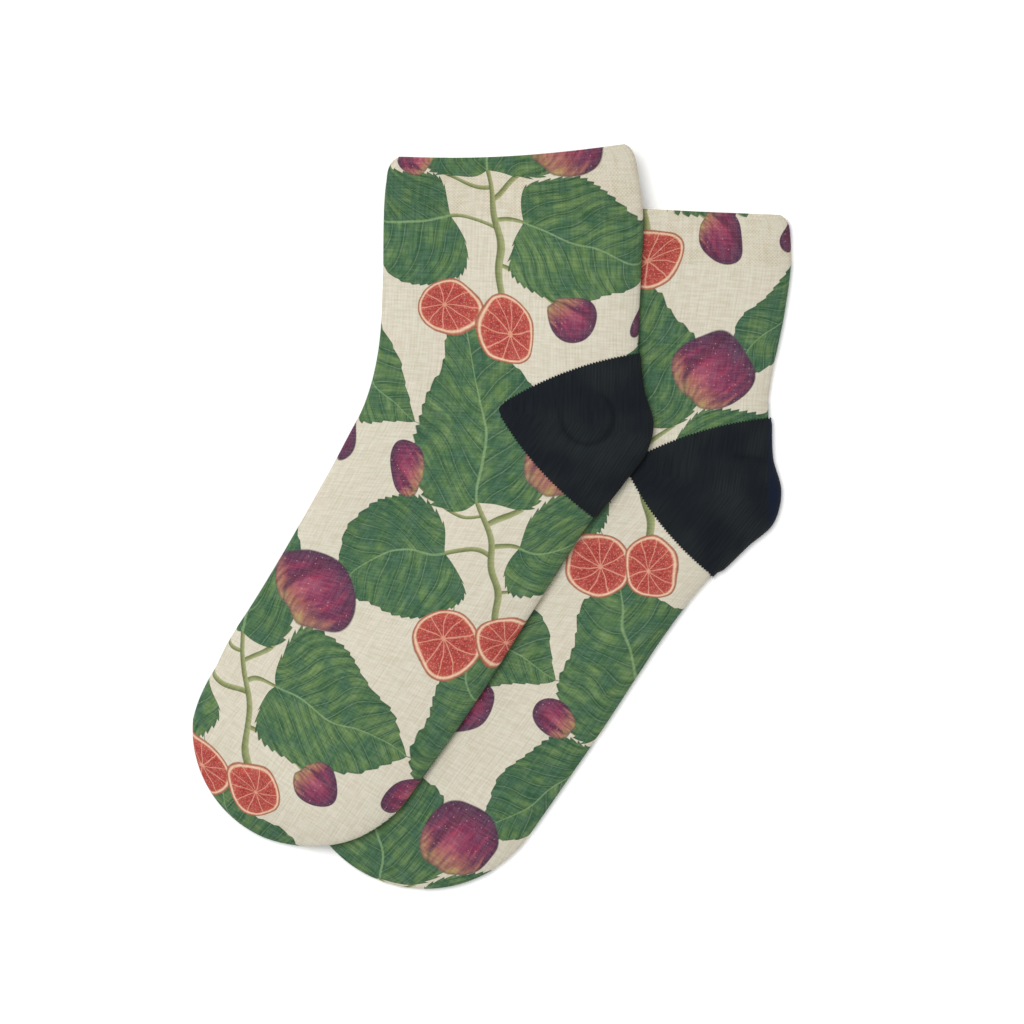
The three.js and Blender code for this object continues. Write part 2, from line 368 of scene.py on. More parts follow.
def grid_faces(count, width, start):
    """Four-sided faces over a grid of count by width points, numbered from start."""
    i, j = np.meshgrid(np.arange(count - 1), np.arange(width - 1), indexing="ij")
    a = start + i * width + j
    return np.stack([a, a + 1, a + width + 1, a + width], axis=-1).reshape(-1, 4)


def body_spread(sock, station):
    """How far the printed cloth lies outside the sock's outline at each station."""
    row, side = station["row"], station["side"]
    instep, toe, heel = (np.interp(at, *ease) for at, ease in zip((row, side, row), sock["ease"]))
    return np.where(side <= -1, instep, np.where(side >= 1, heel, toe))


def heel_spread(sock, station):
    """How far the heel pocket stands out past the sock's own edge, most near its two ends."""
    first, last = sock["heel_span"]
    from_leg = np.interp(station["row"] - first, *SPREAD_FROM_LEG)
    from_sole = np.interp(last - station["row"], *SPREAD_FROM_SOLE)
    return from_leg + from_sole


def add_object(name, data):
    """A new object, linked into the scene."""
    thing = bpy.data.objects.new(name, data)
    bpy.context.scene.collection.objects.link(thing)
    return thing


def knit_mesh(name, points, coords, quads, slots):
    """A welded mesh from points in mm, with the knit's coordinates as its map."""
    mesh = bpy.data.meshes.new(name)
    mesh.from_pydata((points + FRAME_SHIFT) * MM, [], quads.tolist())
    mesh.polygons.foreach_set("material_index", slots)
    layer = mesh.uv_layers.new(name="Knit")
    layer.data.foreach_set("uv", coords[quads.ravel()].ravel())
    mesh.update()
    bm = bmesh.new()
    bm.from_mesh(mesh)
    bmesh.ops.remove_doubles(bm, verts=bm.verts, dist=WELD_DISTANCE)
    bmesh.ops.dissolve_degenerate(bm, edges=bm.edges, dist=SLIVER_LENGTH)
    bmesh.ops.recalc_face_normals(bm, faces=bm.faces)
    bm.to_mesh(mesh)
    bm.free()
    return mesh


def knitted_tube(name, sock, rows, with_toe, depths, lift, relief, density=COARSE, spread=body_spread):
    """A stretch of a sock's wall as a closed hollow tube. Faces of material 1 are its inside."""
    positions, knit, faces, slots = [], [], [], []
    total = 0
    for station in stretches(sock, *rows, with_toe, density["step"]):
        station["spread"] = spread(sock, station)
        shells = []
        for depth, inner in zip(depths, (False, True)):
            values = depth(station) if callable(depth) else depth
            points, coords = wall_face(sock, station, values, lift, relief, density)
            count, width = points.shape[:2]
            quads = grid_faces(count, width, total)
            faces.append(quads[:, ::-1] if inner else quads)
            slots.append(np.full(len(quads), int(inner)))
            shells.append(total + np.arange(count * width).reshape(count, width))
            positions.append(points.reshape(-1, 3))
            knit.append(coords.reshape(-1, 2))
            total += count * width
        outer, inner = shells
        for end, turned in ((0, False), (-1, True)):
            a, b = outer[end], inner[end]
            cap = np.stack([a[:-1], b[:-1], b[1:], a[1:]], axis=-1)
            faces.append(cap[:, ::-1] if turned else cap)
            slots.append(np.zeros(len(cap), int))
    parts = (np.concatenate(part) for part in (positions, knit, faces, slots))
    return add_object(name, knit_mesh(name, *parts))


def heel_plan(sock):
    """The heel pocket's outline in plan, with toothed sides and a rounded tip."""
    tip, *ends = np.array(sock["heel"])
    sides = []
    for end, turn in zip(ends, (1, -1)):
        chord = end - tip
        length = np.linalg.norm(chord)
        out = turn * np.array([-chord[1], chord[0]]) / length
        steps = np.arange(0, length + HEEL_OVERRUN, TOOTH_PITCH / 2)
        share = steps / length
        tooth = np.where(np.arange(len(steps)) % 2, 0.5, -0.5) * TOOTH_DEPTH
        bow = HEEL_EDGE_SAG * 4 * share * (1 - np.minimum(share, 1)) * (share < 1) + tooth
        sides.append(tip + np.outer(share, chord) + np.outer(bow, out))
    first, second = (side[TIP_STEPS:] for side in sides)
    tip_round = [
        (1 - t) ** 2 * second[0] + 2 * t * (1 - t) * tip + t * t * first[0] for t in (0.25, 0.5, 0.75)
    ]
    return np.vstack([tip_round, first, second[::-1]]) + FRAME_SHIFT[:2]


def heel_cutter(sock):
    """An upright prism that parts the heel pocket from the rest of the sock."""
    plan = heel_plan(sock)
    bm = bmesh.new()
    rings = [[bm.verts.new((x * MM, y * MM, z * MM)) for x, y in plan] for z in CUTTER_HEIGHTS]
    for ring in rings:
        bm.faces.new(ring)
    for i in range(len(plan)):
        j = (i + 1) % len(plan)
        bm.faces.new((rings[0][i], rings[0][j], rings[1][j], rings[1][i]))
    bmesh.ops.triangulate(bm, faces=bm.faces)
    bmesh.ops.recalc_face_normals(bm, faces=bm.faces)
    mesh = bpy.data.meshes.new("heel_cutter")
    bm.to_mesh(mesh)
    bm.free()
    return add_object("heel_cutter", mesh)


def apply_modifiers(piece):
    depsgraph = bpy.context.evaluated_depsgraph_get()
    evaluated = piece.evaluated_get(depsgraph)
    mesh = bpy.data.meshes.new_from_object(evaluated, preserve_all_data_layers=True, depsgraph=depsgraph)
    old = piece.data
    piece.modifiers.clear()
    piece.data = mesh
    bpy.data.meshes.remove(old)


def cut(piece, sock, operation):
    """Cut the heel pocket's shape out of a piece, or cut the piece down to that shape."""
    cutter = heel_cutter(sock)
    boolean = piece.modifiers.new("cut", "BOOLEAN")
    boolean.operation = operation
    boolean.object = cutter
    boolean.solver = "EXACT"
    boolean.material_mode = "INDEX"
    apply_modifiers(piece)
    bpy.data.objects.remove(cutter)


def rim_depth(outer, wall):
    """Depths of the welt's wall that close in a round lip at the rim."""
    radius = wall / 2

    def depth(station):
        run = station["along"] - station["along"].min()
        reach = np.maximum(0, radius - run)
        shrink = radius - np.sqrt(radius**2 - reach**2)
        return -WELT_PROUD + (shrink if outer else wall - shrink)

    return depth


def undulation(points):
    """Soft low waves of cloth that has been handled and laid down, in mm."""
    x, y = points.T
    return sum(height * np.sin(a * x + b * y + start) for height, a, b, start in WAVES)


def ring_crease(points):
    """The round dent that the turned heel of the upper sock shows."""
    from_centre = points - RING_CENTRE
    away = np.linalg.norm(from_centre, axis=1)
    angle = np.arctan2(*from_centre.T[::-1])
    faint = RING_FADE * np.maximum(0, np.sin(angle - RING_FADE_ANGLE)) ** 2
    depth = RING_DEPTH * (0.85 + 0.15 * np.cos(3 * angle + 1) - faint)
    rise = RING_RISE * smoothstep(1 - away / RING_RADIUS)
    return rise - depth * np.exp(-(((away - RING_RADIUS) / CREASE_WIDTH) ** 2))


def short_crease(points):
    """The short fold across the heel of the lower sock, below its upper corner."""
    along = CREASE_END - CREASE_START
    share = np.clip((points - CREASE_START) @ along / (along @ along), 0, 1)
    away = np.linalg.norm(points - CREASE_START - share[:, None] * along, axis=1)
    return -CREASE_DEPTH * np.exp(-((away / CREASE_WIDTH) ** 2))


def creased(crease):
    """The waves of the cloth with a crease added to them."""

    def relief(points):
        return undulation(points) + crease(points)

    return relief


# Materials. Shapes of the print are sums over the plan of the socks, in mm.
def srgb(red, green, blue):
    """A linear colour from the usual 0 to 255 numbers."""
    levels = (level / 255 for level in (red, green, blue))
    return tuple(v / 12.92 if v <= 0.04045 else ((v + 0.055) / 1.055) ** 2.4 for v in levels)


class Num:
    """One number per point of a node tree, so that shapes can be written as plain sums."""

    def __init__(self, tree, socket):
        self.tree = tree
        self.socket = socket

    def call(self, operation, *others, clamp=False):
        node = self.tree.nodes.new("ShaderNodeMath")
        node.operation = operation
        node.use_clamp = clamp
        for slot, item in zip(node.inputs, (self, *others)):
            feed(self.tree, slot, item)
        return Num(self.tree, node.outputs[0])

    def __add__(self, other):
        return self.call("ADD", other)

    def __sub__(self, other):
        return self.call("SUBTRACT", other)

    def __mul__(self, other):
        return self.call("MULTIPLY", other)

    def __truediv__(self, other):
        return self.call("DIVIDE", other)

    def __pow__(self, other):
        return self.call("POWER", other)

    def __rsub__(self, other):
        return self.call("MULTIPLY", -1).call("ADD", other)

    def plus(self, scale, offset):
        """This number times scale plus offset, in one node."""
        return self.call("MULTIPLY_ADD", scale, offset)

    def abs(self):
        return self.call("ABSOLUTE")

    def sin(self):
        return self.call("SINE")

    def root(self):
        return self.call("SQRT")

    def fraction(self):
        return self.call("FRACT")

    def clamped(self):
        """This number, kept between 0 and 1."""
        return self.call("ADD", 0, clamp=True)

    def just_inside(self):
        """This number, kept a little inside 0 and 1."""
        return self.call("MAXIMUM", 0.0001).call("MINIMUM", 0.9999)

    def above(self, edge, softness):
        """0 well below the edge and 1 well above it, over this softness."""
        return self.call("MULTIPLY_ADD", 1 / softness, 0.5 - edge / softness, clamp=True)

    def below(self, edge, softness):
        """1 well below the edge and 0 well above it, over this softness."""
        return self.call("MULTIPLY_ADD", -1 / softness, 0.5 + edge / softness, clamp=True)

    def less(self, other):
        return self.call("LESS_THAN", other)

    def most(self, other):
        return self.call("MAXIMUM", other)


def feed(tree, slot, item):
    """Link a number or a socket to an input, or set the input to a plain value."""
    if isinstance(item, Num):
        tree.links.new(item.socket, slot)
    elif hasattr(item, "node"):
        tree.links.new(item, slot)
    else:
        slot.default_value = item


def set_inputs(node, values):
    """Set a node's inputs to plain values, by name."""
    for label, value in values.items():
        node.inputs[label].default_value = value


def vector_math(tree, operation, *items):
    node = tree.nodes.new("ShaderNodeVectorMath")
    node.operation = operation
    slots = [slot for slot in node.inputs if slot.enabled]
    for slot, item in zip(slots, items):
        feed(tree, slot, item)
    return next(output for output in node.outputs if output.enabled)


def combine(tree, x, y):
    """A vector in plan from two numbers."""
    node = tree.nodes.new("ShaderNodeCombineXYZ")
    for slot, item in zip(node.inputs, (x, y)):
        feed(tree, slot, item)
    return node.outputs[0]


def parts_of(tree, vector):
    node = tree.nodes.new("ShaderNodeSeparateXYZ")
    feed(tree, node.inputs[0], vector)
    return [Num(tree, output) for output in node.outputs]


def object_place(tree):
    """The place of a point in the frame, in metres."""
    return tree.nodes.new("ShaderNodeTexCoord").outputs["Object"]


def in_mm(tree, place):
    """The plan part of a place, turned from metres to mm."""
    return vector_math(tree, "MULTIPLY", place, (1 / MM, 1 / MM, 0.0))


def noise_node(tree, vector, scale, detail=2.0, roughness=0.5):
    node = tree.nodes.new("ShaderNodeTexNoise")
    node.noise_dimensions = "2D"
    feed(tree, node.inputs["Vector"], vector)
    set_inputs(node, {"Scale": scale, "Detail": detail, "Roughness": roughness})
    return node


def noise(tree, *settings):
    """Noise between 0 and 1, from a vector, a scale, a detail and a roughness."""
    return Num(tree, noise_node(tree, *settings).outputs[0])


def cells(tree, vector, scale, feature="F1"):
    """Distance from scattered points, with a colour for each, or from the borders between them."""
    node = tree.nodes.new("ShaderNodeTexVoronoi")
    node.voronoi_dimensions = "2D"
    node.feature = feature
    feed(tree, node.inputs["Vector"], vector)
    node.inputs["Scale"].default_value = scale
    return Num(tree, node.outputs["Distance"]), node.outputs.get("Color")


def blend(tree, share, first, second, mode="MIX"):
    """The first colour where share is 0 and the second where it is 1."""
    node = tree.nodes.new("ShaderNodeMix")
    node.data_type = "RGBA"
    node.blend_type = mode
    node.clamp_factor = True
    factor = next(slot for slot in node.inputs if slot.enabled and slot.type == "VALUE")
    colours = [slot for slot in node.inputs if slot.enabled and slot.type == "RGBA"]
    feed(tree, factor, share)
    for slot, item in zip(colours, (first, second)):
        feed(tree, slot, (*item, 1.0) if isinstance(item, tuple) and len(item) == 3 else item)
    return next(output for output in node.outputs if output.enabled)


SHAPE_OUTPUTS = [("Mask", "NodeSocketFloat"), ("Colour", "NodeSocketColor")]


def new_group(name, inputs):
    """A group for one shape of the print, with its inputs as numbers and its output node."""
    group = bpy.data.node_groups.new(name, "ShaderNodeTree")
    for label in inputs:
        group.interface.new_socket(label, in_out="INPUT", socket_type="NodeSocketFloat")
    for label, kind in SHAPE_OUTPUTS:
        group.interface.new_socket(label, in_out="OUTPUT", socket_type=kind)
    start = group.nodes.new("NodeGroupInput")
    end = group.nodes.new("NodeGroupOutput")
    return group, [Num(group, start.outputs[label]) for label in inputs], end


def close_group(group, end, mask, colour):
    feed(group, end.inputs["Mask"], mask)
    feed(group, end.inputs["Colour"], colour)
    return group


def use_group(tree, group, values):
    """The mask and the colour that a shape's group gives for these inputs."""
    node = tree.nodes.new("ShaderNodeGroup")
    node.node_tree = group
    for slot, item in zip(node.inputs, values):
        feed(tree, slot, item)
    return Num(tree, node.outputs["Mask"]), node.outputs["Colour"]


def leaf_group():
    """A pointed serrated leaf. u runs from its base to its tip and v across it, in leaf lengths."""
    labels = ["u", "v", "Patches", "Grain", "Net"]
    group, (u, v, patches, grain, net), end = new_group("print_leaf", labels)
    held = u.just_inside()
    bent = v + held * (1 - held) * 0.22
    across = bent.abs()
    along = (u + across * 0.42).just_inside()
    rest = 1 - along
    width = (along ** 0.5) * (rest ** 0.78) * 0.98
    tooth = (along * 17).fraction() * 0.02
    edge = width + tooth - 0.018 - across
    mask = edge.above(0, 0.006)
    side = bent.less(0)
    start = u - across * 0.8 - across * across * 0.9 + side * 0.055
    phase = start * 8.5
    near = (phase.fraction() - 0.5).abs()
    vein = near.above(0.472, 0.03) * across.below(0.3, 0.1)
    puff = (near * -2 + 1) ** 0.7
    strokes = noise(group, combine(group, start * 46, across * 7), 1.0, 3.0, 0.6)
    tone = puff * 0.4 + patches * 0.5 + strokes * 1.3 - 0.72 - side * 0.12
    colour = blend(group, tone, srgb(44, 86, 60), srgb(92, 130, 82))
    lit = patches.above(0.58, 0.3) * puff * strokes.above(0.45, 0.3)
    colour = blend(group, lit * 0.55, colour, srgb(128, 150, 88))
    colour = blend(group, patches.below(0.42, 0.22) * 0.5, colour, srgb(46, 90, 76))
    colour = blend(group, near.above(0.38, 0.16) * 0.45, colour, srgb(36, 72, 52))
    colour = blend(group, net * 0.12, colour, srgb(96, 134, 92))
    colour = blend(group, vein * 0.5, colour, srgb(122, 156, 112))
    rib = ((1 - held) * 0.006 + 0.002 - across).above(0, 0.006)
    colour = blend(group, rib * 0.7, colour, srgb(134, 166, 118))
    colour = blend(group, edge.below(0.008, 0.012) * 0.55, colour, srgb(32, 62, 42))
    colour = blend(group, grain * 0.07, colour, srgb(150, 165, 128))
    return close_group(group, end, mask, colour)


def plum_group():
    """A round plum. x and y are in radii, with the stalk at the top."""
    labels = ["x", "y", "Streaks", "Grain", "Specks"]
    group, (x, y, streaks, grain, specks), end = new_group("print_plum", labels)
    dent = x.abs().below(0.16, 0.34) * y.above(0.55, 0.5) * 0.09
    narrowed = x * (y * 0.07 + 1)
    radius = (narrowed * narrowed + y * y).root() + dent
    mask = radius.below(0.97, 0.035)
    bulge = (1 - y * y).most(0.02).root()
    meridian = narrowed / bulge
    shade = radius * radius
    top = y + streaks * 0.9
    colour = blend(group, shade * 1.2 - streaks * 0.3, srgb(122, 38, 82), srgb(60, 36, 66))
    colour = blend(group, streaks.above(0.55, 0.3) * (1 - shade), colour, srgb(164, 46, 84))
    colour = blend(group, y.below(-0.1, 1.5) * 0.45, colour, srgb(70, 44, 78))
    colour = blend(group, top.above(1.02, 0.8) * 0.8, colour, srgb(192, 136, 104))
    colour = blend(group, top.above(1.3, 0.45) * 0.85, colour, srgb(164, 154, 92))
    crease = (meridian + 0.42).abs()
    colour = blend(group, crease.below(0.09, 0.14) * 0.6, colour, srgb(62, 32, 58))
    gleam = (x + 0.05) * (x + 0.05) * 3 + (y - 0.1) * (y - 0.1) * 1.4
    colour = blend(group, gleam.below(0.1, 0.3) * 0.32, colour, srgb(204, 118, 136))
    colour = blend(group, specks * 0.6, colour, srgb(214, 170, 172))
    colour = blend(group, radius.above(0.93, 0.09) * 0.75, colour, srgb(66, 44, 66))
    colour = blend(group, grain * 0.1, colour, srgb(196, 160, 160))
    return close_group(group, end, mask, colour)


SLICE_SEGMENTS = 10


def slice_group():
    """A round slice of citrus. x and y are in radii."""
    labels = ["x", "y", "Patches", "Grain"]
    group, (x, y, patches, grain), end = new_group("print_slice", labels)
    radius = (x * x + y * y).root() + patches * 0.07
    mask = radius.below(1.0, 0.03)
    angle = y.call("ARCTAN2", x)
    turn = angle * (SLICE_SEGMENTS / (2 * math.pi)) + patches * 0.35
    spoke = (turn.fraction() - 0.5).abs()
    away = (0.5 - spoke) * radius
    fibre = noise(group, combine(group, angle * 9, radius * 3.5), 1.4, 2.0)
    flesh = blend(group, fibre.above(0.5, 0.5), srgb(137, 26, 33), srgb(186, 51, 49))
    flesh = blend(group, radius.above(0.76, 0.3) * 0.25, flesh, srgb(224, 116, 92))
    bead = cells(group, combine(group, angle * 3.4, radius * 8), 1.6)[0]
    flesh = blend(group, bead.below(0.16, 0.16) * 0.4, flesh, srgb(240, 180, 150))
    membrane = away.below(0.026, 0.03) + radius.below(0.1, 0.05)
    colour = blend(group, membrane.clamped() * 0.8, flesh, srgb(226, 160, 134))
    pith = radius.above(0.875, 0.045)
    colour = blend(group, pith, colour, srgb(230, 196, 168))
    rind = radius.above(0.94, 0.035)
    colour = blend(group, rind, colour, srgb(176, 104, 76))
    colour = blend(group, radius.above(0.975, 0.03) * 0.7, colour, srgb(122, 66, 56))
    colour = blend(group, grain * 0.12, colour, srgb(236, 200, 180))
    return close_group(group, end, mask, colour)


# The repeat of the print: a half-drop lattice, in mm
REPEAT_X = 92.0
REPEAT_Y = 114.0


def placed(x, y, start, turn, size, mirrored=False, ahead=0.0):
    """Coordinates from the start of a motif's nearest copy, turned and in units of its size.

    The nearest copy is told by its middle, which lies this far ahead of its start."""
    angle = math.radians(turn)
    dx = x - float(start[0] + ahead * size * math.cos(angle))
    dy = y - float(start[1] + ahead * size * math.sin(angle))
    column = (dx / REPEAT_X).call("ROUND")
    dx = dx - column * REPEAT_X
    dy = dy - column * (REPEAT_Y / 2)
    dy = dy.call("WRAP", REPEAT_Y / 2, -REPEAT_Y / 2)
    c, s = math.cos(angle) / size, math.sin(angle) / size
    u = dx * c + dy * s + ahead
    flip = -1 if mirrored else 1
    v = dy * (c * flip) - dx * (s * flip)
    return u, v


def stalk(x, y, start, end, bow, widths):
    """A curved stalk from start to end, as a mask and how far across it a point is, from -1 to 1."""
    chord = np.subtract(end, start)
    length = float(np.hypot(*chord))
    turn = math.degrees(math.atan2(chord[1], chord[0]))
    u, v = placed(x, y, start, turn, length, ahead=0.5)
    middle = u * (1 - u) * bow
    half = u.plus((widths[1] - widths[0]) / length / 2, widths[0] / length / 2)
    across = (v - middle) / half
    inside = across.abs().below(1.0, 0.25) * u.above(0, 0.02) * u.below(1.02, 0.02)
    return inside, across


# A stem from its foot to its head, with how far it bows and its two widths
STEM = ((3, -38), (-3, 8), -0.14, (2.7, 1.9))
# Base, direction, length, whether mirrored and how much lighter
LEAVES = [
    ((-3, 7), 97, 64, False, 0.0),
    ((12, -7), -22, 56, True, 0.06),
    ((-15, -11), 203, 50, False, -0.05),
]
# Where the stalk meets the fruit, direction from there and radius. The middle of the fruit lies
# PLUM_MIDDLE radii along that direction.
PLUM_MIDDLE = 0.88
PLUMS = [
    ((18, 16), 50, 15.0),
    ((-26, 8), 140, 8.0),
    ((23, -33), -38, 9.5),
]
# Middle, turn and radius
SLICES = [
    ((-16, -43), 14, 12.5),
    ((5, -46), 52, 11.5),
]
# Share of the way up the stem, end, bow and widths
BRANCHES = [
    (0.62, (12, -7), 0.3, (1.7, 1.5)),
    (0.55, (-15, -11), -0.3, (1.7, 1.5)),
    (0.78, (18, 16), -0.3, (1.8, 1.3)),
    (0.86, (-26, 8), 0.34, (1.4, 1.0)),
    (0.3, (23, -33), 0.3, (1.5, 1.1)),
]

# How far the print moves in plan for each unit of height, so that it runs on round the folded edges
PRINT_LEAN = (0.3, 1.0)

# Soft bends of the print, in mm, and how many of them there are per mm
PRINT_WOBBLE = 7.0
WOBBLE_SCALE = 0.05


def along_bow(start, end, bow, share):
    """A point on a bowed stalk, in the same form as stalk() draws it."""
    chord = np.subtract(end, start)
    return start + chord * share + np.array([-chord[1], chord[0]]) * bow * share * (1 - share)


def print_colour(tree, offset, groups):
    """The botanical print over a cream ground."""
    leaf, plum, cut_fruit = groups
    here_x, here_y, height = parts_of(tree, object_place(tree))
    plan = combine(tree, here_x + height * PRINT_LEAN[0], here_y + height * PRINT_LEAN[1])
    plan = vector_math(tree, "ADD", in_mm(tree, plan), (*offset, 0.0))
    wobble = noise_node(tree, plan, WOBBLE_SCALE, 0.0).outputs["Color"]
    wobble = vector_math(tree, "SUBTRACT", wobble, (0.5, 0.5, 0.5))
    wobble = vector_math(tree, "MULTIPLY", wobble, (PRINT_WOBBLE, PRINT_WOBBLE, 0.0))
    x, y, _ = parts_of(tree, vector_math(tree, "ADD", plan, wobble))
    patches = noise(tree, plan, 0.13, 2.0)
    grain = noise(tree, plan, 2.3, 1.0).above(0.5, 0.5)
    net = cells(tree, plan, 0.42, "DISTANCE_TO_EDGE")[0].below(0.05, 0.08)
    speck_distance, speck_colour = cells(tree, plan, 0.4)
    chosen = parts_of(tree, speck_colour)[0].above(0.66, 0.02)
    specks = speck_distance.below(0.07, 0.06) * chosen

    fleck = noise(tree, plan, 0.8, 3.0, 0.7)
    warmth = patches * 0.5 + fleck * 1.6 - 0.55
    colour = blend(tree, warmth, srgb(205, 207, 185), srgb(217, 205, 192))
    colour = blend(tree, grain * 0.3, colour, srgb(222, 218, 205))
    stalks = [(along_bow(*STEM[:3], share), *rest) for share, *rest in BRANCHES] + [STEM]
    for start, end, bow, widths in stalks:
        inside, across = stalk(x, y, start, end, bow, widths)
        green = blend(tree, across.above(0.1, 1.6), srgb(158, 164, 116), srgb(98, 112, 70))
        colour = blend(tree, inside, colour, green)
    for base, turn, length, mirrored, tone in LEAVES:
        u, v = placed(x, y, base, turn, length, mirrored, ahead=0.5)
        mask, green = use_group(tree, leaf, (u, v, patches + tone, grain, net))
        colour = blend(tree, mask, colour, green)
    for centre, turn, radius in SLICES:
        u, v = placed(x, y, centre, turn, radius)
        mask, fruit = use_group(tree, cut_fruit, (u, v, patches, grain))
        colour = blend(tree, mask, colour, fruit)
    for top, turn, radius in PLUMS:
        angle = math.radians(turn)
        reach = PLUM_MIDDLE * radius
        centre = (top[0] + reach * math.cos(angle), top[1] + reach * math.sin(angle))
        u, v = placed(x, y, centre, turn - 180, radius)
        streaks = noise(tree, combine(tree, v * 3.2, u * 0.7), 2.2, 2.0)
        mask, fruit = use_group(tree, plum, (v, u, streaks, grain, specks))
        colour = blend(tree, mask, colour, fruit)
    return colour


def undyed_colour(tree):
    """The loops of white yarn that show on the inside, with a little of the dye come through."""
    stain = noise(tree, in_mm(tree, object_place(tree)), 0.07, 2.0)
    return blend(tree, stain.above(0.5, 0.4), srgb(226, 222, 210), srgb(206, 205, 188))


def knit_map(tree):
    """The knit's own coordinates: wales across it and mm along it."""
    node = tree.nodes.new("ShaderNodeUVMap")
    node.uv_map = "Knit"
    return node.outputs["UV"]


def knit_noise(tree, knit, per_wale, per_mm, detail=2.0, roughness=0.6):
    """Noise over the knit, with its own scale in each of the knit's directions."""
    scaled = vector_math(tree, "MULTIPLY", knit, (per_wale, per_mm, 1.0))
    return noise(tree, scaled, 1.0, detail, roughness)


def knit_relief(tree, knit, cuff):
    """Height of the stitches, plain knit or the diamonds of the cuff, and a value that darkens their low
    places in colour: partly painted shade in the grooves, partly the gaps' own darker look.
    """
    wale, course, _ = parts_of(tree, knit)
    # Patches where the darkening of the grooves is weaker
    patchy = knit_noise(tree, knit, 0.2, 0.16, 3.0, 0.5).above(0.5, 0.4) * 0.4
    if cuff:
        a = (wale * 0.9 + course * 0.8) * math.pi
        b = (wale * 0.9 - course * 0.8) * math.pi
        height = (a.sin() * b.sin()).abs()
    else:
        column = (wale.fraction() - 0.5).abs() * 2
        leg = ((course / COURSE_PITCH - column * 0.42) * (2 * math.pi)).sin() * 0.5 + 0.5
        groove = column ** 4
        height = leg * 0.55 * (1 - groove) + (1 - groove) * 0.45
    return height, height + patchy


def new_material(name):
    """A material, with its node tree and its shader."""
    material = bpy.data.materials.new(name)
    material.use_nodes = True
    tree = material.node_tree
    return material, tree, tree.nodes["Principled BSDF"]


def matt_cloth(tree, shader, colour, relief, bump):
    """Join a colour and a relief to a shader. The bump is its strength and its height in metres."""
    node = tree.nodes.new("ShaderNodeBump")
    set_inputs(node, {"Strength": bump[0], "Distance": bump[1]})
    feed(tree, node.inputs["Height"], relief)
    tree.links.new(colour, shader.inputs["Base Color"])
    tree.links.new(node.outputs["Normal"], shader.inputs["Normal"])
    set_inputs(shader, {"Specular IOR Level": 0.12, "Sheen Roughness": 0.5})


# Strength of the relief of the stitches, and its height in metres
KNIT_BUMP = (0.5, 0.00016)
HEEL_BUMP = (0.8, 0.0003)


def fabric(name, offset, groups, cuff=False):
    """Knitted cloth: printed with its print shifted by an offset, or undyed if there is none."""
    material, tree, shader = new_material(name)
    colour = print_colour(tree, offset, groups) if offset else undyed_colour(tree)
    knit = knit_map(tree)
    height, shade = knit_relief(tree, knit, cuff)
    slub = knit_noise(tree, knit, 0.16, 1.3) * 0.55 + knit_noise(tree, knit, 1.1, 0.1) * 0.45
    colour = blend(tree, slub.below(0.5, 0.28) * 0.95, colour, (0.87, 0.84, 0.79), "MULTIPLY")
    colour = blend(tree, slub.above(0.56, 0.3) * 0.05, colour, srgb(240, 234, 220))
    # Low places of the stitches darkened: partly painted shade in the grooves, partly the gaps' own
    # darker look
    groove_shade_tint = (0.86, 0.81, 0.72) if cuff else (0.9, 0.87, 0.83)
    colour = blend(tree, shade.below(0.35, 0.5), colour, groove_shade_tint, "MULTIPLY")
    matt_cloth(tree, shader, colour, height * 0.8 + slub * 0.6, KNIT_BUMP)
    set_inputs(shader, {"Roughness": 0.9, "Sheen Weight": 0.04})
    return material


def painted_ring_shade(tree, x, y, colour):
    """The colour of the heel, with painted shade in the deepest parts of the round crease."""
    dx = x - float(RING_CENTRE[0] + FRAME_SHIFT[0])
    dy = y - float(RING_CENTRE[1] + FRAME_SHIFT[1])
    away = ((dx * dx + dy * dy).root() - RING_RADIUS).abs()
    deepest = dy.below(2, 7).most(dx.above(4.5, 5)) * 0.4
    return blend(tree, away.below(0.7, 1.4) * deepest, colour, srgb(8, 10, 12))


def ribs_along(tree, x, y, direction):
    """Waves across the ribs and along them, and long streaks, for ribs that run in this direction."""
    unit = direction / np.linalg.norm(direction)
    across_rib = x * float(unit[1]) - y * float(unit[0])
    up_rib = x * float(unit[0]) + y * float(unit[1])
    wave = (across_rib * (2 * math.pi / RIB_PITCH)).sin()
    course = (up_rib * (2 * math.pi / HEEL_COURSE_PITCH) + wave * 1.2).sin()
    streak = noise(tree, combine(tree, across_rib * 1.3, up_rib * 0.09), 1.0, 2.0)
    return wave * 0.5 + 0.5, course * 0.5 + 0.5, streak


